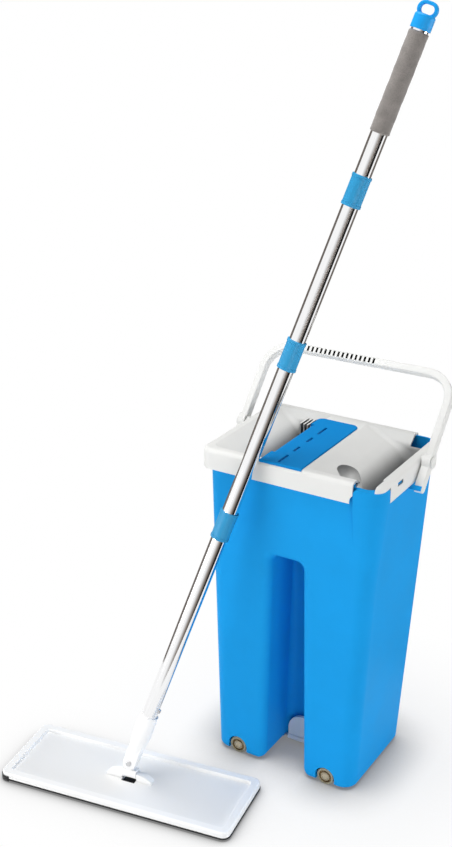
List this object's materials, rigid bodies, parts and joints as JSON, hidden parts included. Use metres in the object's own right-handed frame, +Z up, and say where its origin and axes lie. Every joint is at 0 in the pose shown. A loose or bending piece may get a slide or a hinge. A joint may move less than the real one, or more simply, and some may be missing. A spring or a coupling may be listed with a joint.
{
  "type": "mop and bucket with wringer",
  "caption": "Flat mop with a jointed plate and sectional pole, leaning on a tall bucket whose lid has a wash slot and a scraper slot that wrings the pad.",
  "frame": {"origin": "on the floor, under the middle of the bucket's lid", "axes": "+Z up, -Y towards the front with the recess and the mop, +X to the wash side"},
  "size_m": [0.4655, 0.4041, 0.9731],
  "materials": {
    "bucket_blue": "satin moulded plastic",
    "lid_white": "satin moulded plastic",
    "panel_blue": "satin moulded plastic",
    "blade_rubber": "matt rubber",
    "handle_white": "satin moulded plastic",
    "pin_white": "satin moulded plastic",
    "pedal_white": "satin moulded plastic",
    "pin_steel": "bright drawn",
    "microfibre": "pile with a dark bound edge",
    "hook_tape": "woven hook tape",
    "plate_white": "satin moulded plastic",
    "joint_white": "satin moulded plastic",
    "button_steel": "bright",
    "foam_grey": "closed-cell foam",
    "cap_blue": "satin moulded plastic",
    "wheel_tan": "moulded plastic",
    "axle_tan": "moulded plastic",
    "coupling_blue": "satin moulded plastic",
    "spigot_grey": "moulded plastic",
    "tube_chrome": "polished"
  },
  "bodies": {
    "bucket": {"bucket_shell": "bucket_blue", "lid_tray": "lid_white", "scraper_panel": "panel_blue", "scraper_blade": "blade_rubber", "handle_pin_left": "pin_white", "handle_pin_right": "pin_white", "axle_front_left": "axle_tan", "axle_front_right": "axle_tan", "axle_rear_left": "axle_tan", "axle_rear_right": "axle_tan", "pedal_pin": "pin_steel"},
    "carry_handle": {"carry_handle": "handle_white"},
    "foot_pedal": {"foot_pedal": "pedal_white"},
    "mop_head": {"mop_plate": "plate_white", "mop_pad": "microfibre", "hook_strips": "hook_tape", "tilt_pin": "pin_steel"},
    "knuckle": {"joint_knuckle": "joint_white"},
    "pole": {"pole_socket": "joint_white", "swing_pin": "pin_steel", "tube_1": "tube_chrome", "tube_2": "tube_chrome", "tube_3": "tube_chrome", "tube_4": "tube_chrome", "coupling_1": "coupling_blue", "coupling_2": "coupling_blue", "coupling_3": "coupling_blue", "spigot_1": "spigot_grey", "spigot_2": "spigot_grey", "spigot_3": "spigot_grey", "foam_grip": "foam_grey", "end_cap": "cap_blue"},
    "button": {"spring_button": "button_steel", "button_spring": "button_steel"},
    "wheel_front_left": {"wheel_front_left": "wheel_tan"},
    "wheel_front_right": {"wheel_front_right": "wheel_tan"},
    "wheel_rear_left": {"wheel_rear_left": "wheel_tan"},
    "wheel_rear_right": {"wheel_rear_right": "wheel_tan"}
  },
  "joints": [
    {"name": "handle_swing", "type": "hinge", "parent": "bucket", "child": "carry_handle", "pos_m": [0, 0.0254, 0.4357], "axis": [1, 0, 0], "range_deg": [0, 90]},
    {"name": "pedal_fold", "type": "hinge", "parent": "bucket", "child": "foot_pedal", "pos_m": [-0.0039, -0.02225, 0.008], "axis": [1, 0, 0], "range_deg": [0, 80]},
    {"name": "mop_lift", "type": "slide", "parent": "bucket", "child": "mop_head", "axis": [0, 0, 1], "range_m": [0, 0.35]},
    {"name": "head_tilt", "type": "hinge", "parent": "mop_head", "child": "knuckle", "pos_m": [-0.1584, -0.2146, 0.0162], "axis": [0.9885, 0.1513, 0], "range_deg": [0, 67]},
    {"name": "head_swing", "type": "hinge", "parent": "knuckle", "child": "pole", "pos_m": [-0.15892, -0.21118, 0.03233], "axis": [-0.1479, 0.9665, -0.2095], "range_deg": [-105, 0]},
    {"name": "button_press", "type": "slide", "parent": "pole", "child": "button", "axis": [-0.9552, -0.0847, 0.2834], "range_m": [0, 0.002], "stiffness_N_per_m": 400},
    {"name": "wheel_spin_front_left", "type": "hinge", "parent": "bucket", "child": "wheel_front_left", "pos_m": [-0.073, -0.0775, 0.012], "axis": [0, 1, 0], "continuous": true},
    {"name": "wheel_spin_front_right", "type": "hinge", "parent": "bucket", "child": "wheel_front_right", "pos_m": [0.059, -0.0775, 0.012], "axis": [0, 1, 0], "continuous": true},
    {"name": "wheel_spin_rear_left", "type": "hinge", "parent": "bucket", "child": "wheel_rear_left", "pos_m": [-0.073, 0.0615, 0.012], "axis": [0, 1, 0], "continuous": true},
    {"name": "wheel_spin_rear_right", "type": "hinge", "parent": "bucket", "child": "wheel_rear_right", "pos_m": [0.059, 0.0615, 0.012], "axis": [0, 1, 0], "continuous": true}
  ]
}
